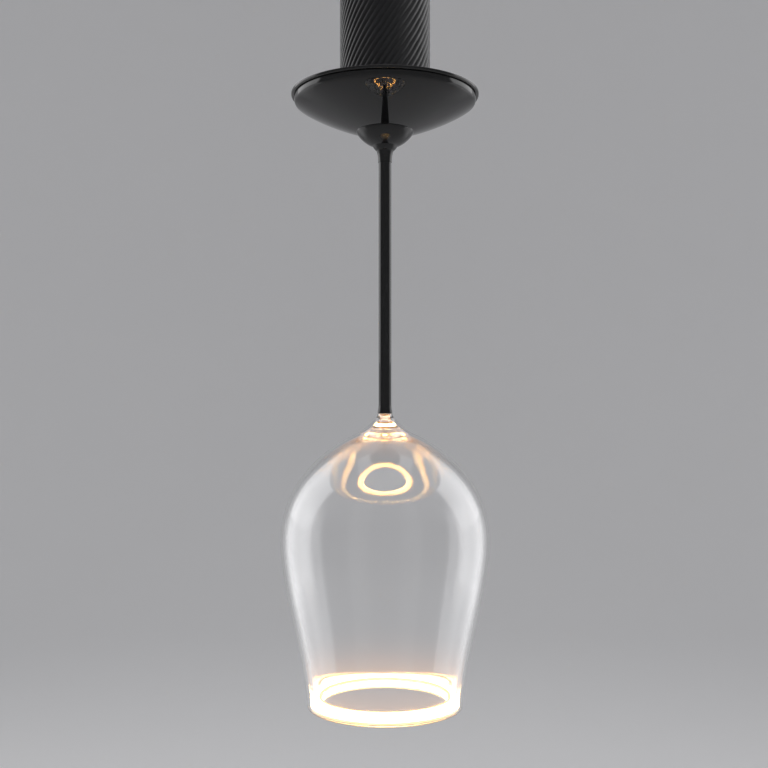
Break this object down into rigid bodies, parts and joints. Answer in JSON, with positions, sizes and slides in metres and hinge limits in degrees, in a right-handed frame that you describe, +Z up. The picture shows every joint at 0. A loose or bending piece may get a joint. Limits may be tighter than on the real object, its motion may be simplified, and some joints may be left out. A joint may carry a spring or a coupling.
{
  "type": "pendant led bulb",
  "caption": "Clear wine-glass bulb hung upside down from a round black foot and thin stem, with a glowing rim ring, in a fluted screw lampholder.",
  "frame": {"origin": "mouth of the cord entry in the middle of the lampholder's top face", "axes": "+Z up along the cord entry, out of the lampholder; the bulb hangs down along -Z"},
  "size_m": [0.1042, 0.1042, 0.3756],
  "materials": {
    "black_fluted_metal": "satin",
    "black_satin_metal": "satin",
    "black_gloss_metal": "gloss",
    "zinc_steel": "satin",
    "black_steel": "satin",
    "spring_steel": "satin",
    "porcelain": "gloss",
    "brass": "satin",
    "tinned_contact": "satin",
    "nickel": "polished",
    "black_glass": "gloss",
    "white_plastic": "satin",
    "black_plastic": "satin",
    "black_rubber": "matte",
    "resistor_body": "satin",
    "wire_red": "satin",
    "wire_blue": "satin",
    "wire_black": "satin",
    "board_green": "satin",
    "chip_black": "matte",
    "capacitor_sleeve": "gloss",
    "film_capacitor_body": "gloss",
    "ferrite": "matte",
    "board_aluminium": "satin",
    "led_phosphor": "satin",
    "clear_silicone": "satin",
    "clear_glass": "polished",
    "clear_acrylic": "polished",
    "ring_diffuser": "satin"
  },
  "bodies": {
    "lampholder": {"holder_sleeve": "black_fluted_metal", "holder_cap": "black_satin_metal", "cord_lock_screw": "zinc_steel", "sleeve_grub_screws": "black_steel", "socket_insert": "porcelain", "insert_screws": "zinc_steel", "contact_shell": "brass", "shell_strip": "brass", "plunger_strip": "brass", "terminal_blocks": "brass", "terminal_screws": "zinc_steel", "earth_screw": "brass", "plunger_spring": "spring_steel"},
    "plunger": {"contact_plunger": "brass"},
    "cap_end": {"cap_button": "tinned_contact"},
    "bulb": {"screw_shell": "nickel", "cap_insulator": "black_glass", "cap_carrier": "white_plastic", "insulating_ring": "black_plastic", "fusible_resistor": "resistor_body", "live_wire": "wire_red", "neutral_wire": "wire_blue", "foot_plate": "black_gloss_metal", "plate_screws": "black_steel", "foot_gasket": "black_rubber", "foot_dome": "black_gloss_metal", "driver_board": "board_green", "board_spacers": "white_plastic", "bridge_rectifier": "chip_black", "driver_chip": "chip_black", "smoothing_capacitor": "capacitor_sleeve", "film_capacitor": "film_capacitor_body", "choke": "ferrite", "led_wire_positive": "wire_red", "led_wire_negative": "wire_black", "stem_tube": "black_gloss_metal", "stem_washer": "zinc_steel", "stem_nut": "zinc_steel", "neck_collar": "black_gloss_metal", "led_board": "board_aluminium", "led_emitter": "led_phosphor", "neck_gasket": "clear_silicone", "outer_bowl": "clear_glass", "light_guide": "clear_acrylic", "rim_ring": "ring_diffuser"}
  },
  "joints": [
    {"name": "bulb_lower", "type": "slide", "parent": "lampholder", "child": "cap_end", "axis": [0, 0, -1], "range_m": [0, 0.01815]},
    {"name": "bulb_turn", "type": "hinge", "parent": "cap_end", "child": "bulb", "pos_m": [0, 0, -0.06], "axis": [0, 0, -1], "range_deg": [0, 1800]},
    {"name": "plunger_press", "type": "slide", "parent": "lampholder", "child": "plunger", "axis": [0, 0, 1], "range_m": [0, 0.001], "stiffness_N_per_m": 2000, "deforming": ["plunger_spring"]}
  ],
  "couplings": [
    {"joint": "bulb_lower", "follows": "bulb_turn", "m_per_rad": 0.00057757}
  ]
}
